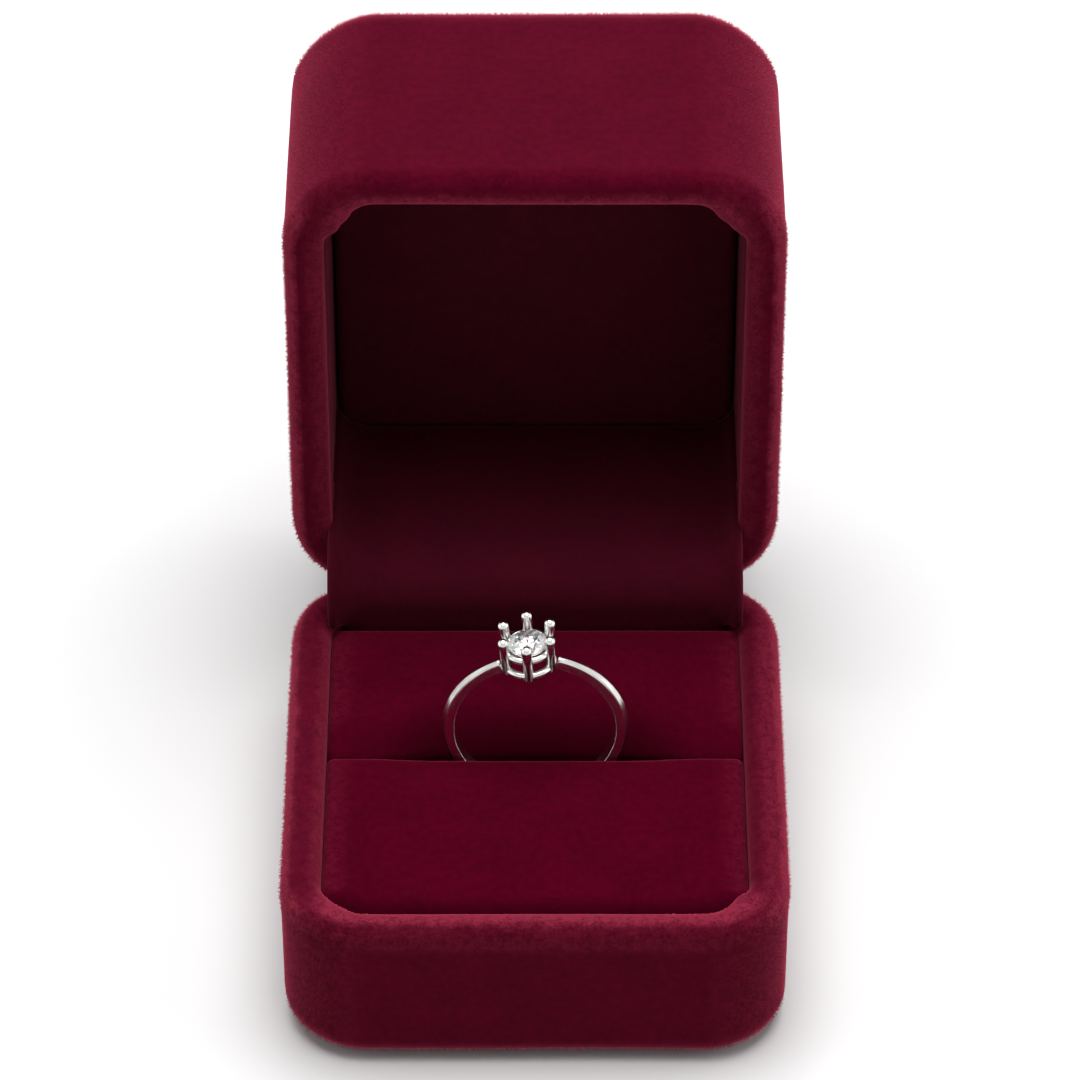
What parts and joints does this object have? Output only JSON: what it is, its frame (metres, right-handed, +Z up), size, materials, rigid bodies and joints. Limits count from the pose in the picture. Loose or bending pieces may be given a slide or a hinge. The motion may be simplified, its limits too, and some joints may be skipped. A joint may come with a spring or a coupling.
{
  "type": "ring box",
  "caption": "Hinged velvet ring box, open, with padded lid and slit pad gripping a claw-set solitaire ring; the lid snaps shut on a spring hinge and the ring lifts out.",
  "frame": {"origin": "middle of the flat underside that the box stands on", "axes": "+Z up, +X to the right of someone facing the open box, +Y away from that person, towards the hinge"},
  "size_m": [0.051, 0.085, 0.0714],
  "materials": {
    "velvet": "deep red velvet pile",
    "pad_velvet": "deep red velvet pile, short",
    "lining_velvet": "deep red velvet pile, short",
    "patch_velvet": "flocked panel",
    "core_plastic": "moulded",
    "card": "grey board",
    "foam": "open-cell foam",
    "hinge_steel": "nickelled spring steel",
    "ring_metal": "polished white metal",
    "crystal": "faceted clear crystal"
  },
  "bodies": {
    "base": {"base_core": "core_plastic", "base_cover": "velvet", "bottom_patch": "patch_velvet", "insert_board": "card", "pad_foam": "foam", "front_pad_velvet": "pad_velvet", "rear_pad_velvet": "pad_velvet", "hinge_base_leaf": "hinge_steel", "hinge_base_rivet_left": "hinge_steel", "hinge_base_rivet_right": "hinge_steel", "hinge_pin": "hinge_steel", "hinge_spring": "hinge_steel", "hinge_curtain": "lining_velvet"},
    "lid": {"lid_core": "core_plastic", "lid_cover": "velvet", "lid_lining": "lining_velvet", "lid_panel_card": "card", "lid_panel_foam": "foam", "lid_panel_velvet": "lining_velvet", "hinge_lid_leaf": "hinge_steel", "hinge_lid_rivet_left": "hinge_steel", "hinge_lid_rivet_right": "hinge_steel"},
    "ring": {"ring_shank": "ring_metal", "ring_head": "ring_metal", "ring_stone": "crystal"}
  },
  "joints": [
    {"name": "lid_hinge", "type": "hinge", "parent": "base", "child": "lid", "pos_m": [0, 0.026, 0.01835], "axis": [1, 0, 0], "range_deg": [0, 90], "deforming": ["hinge_curtain", "hinge_spring"]},
    {"name": "ring_lift", "type": "slide", "parent": "base", "child": "ring", "axis": [0, 0, 1], "range_m": [0, 0.0065]}
  ]
}
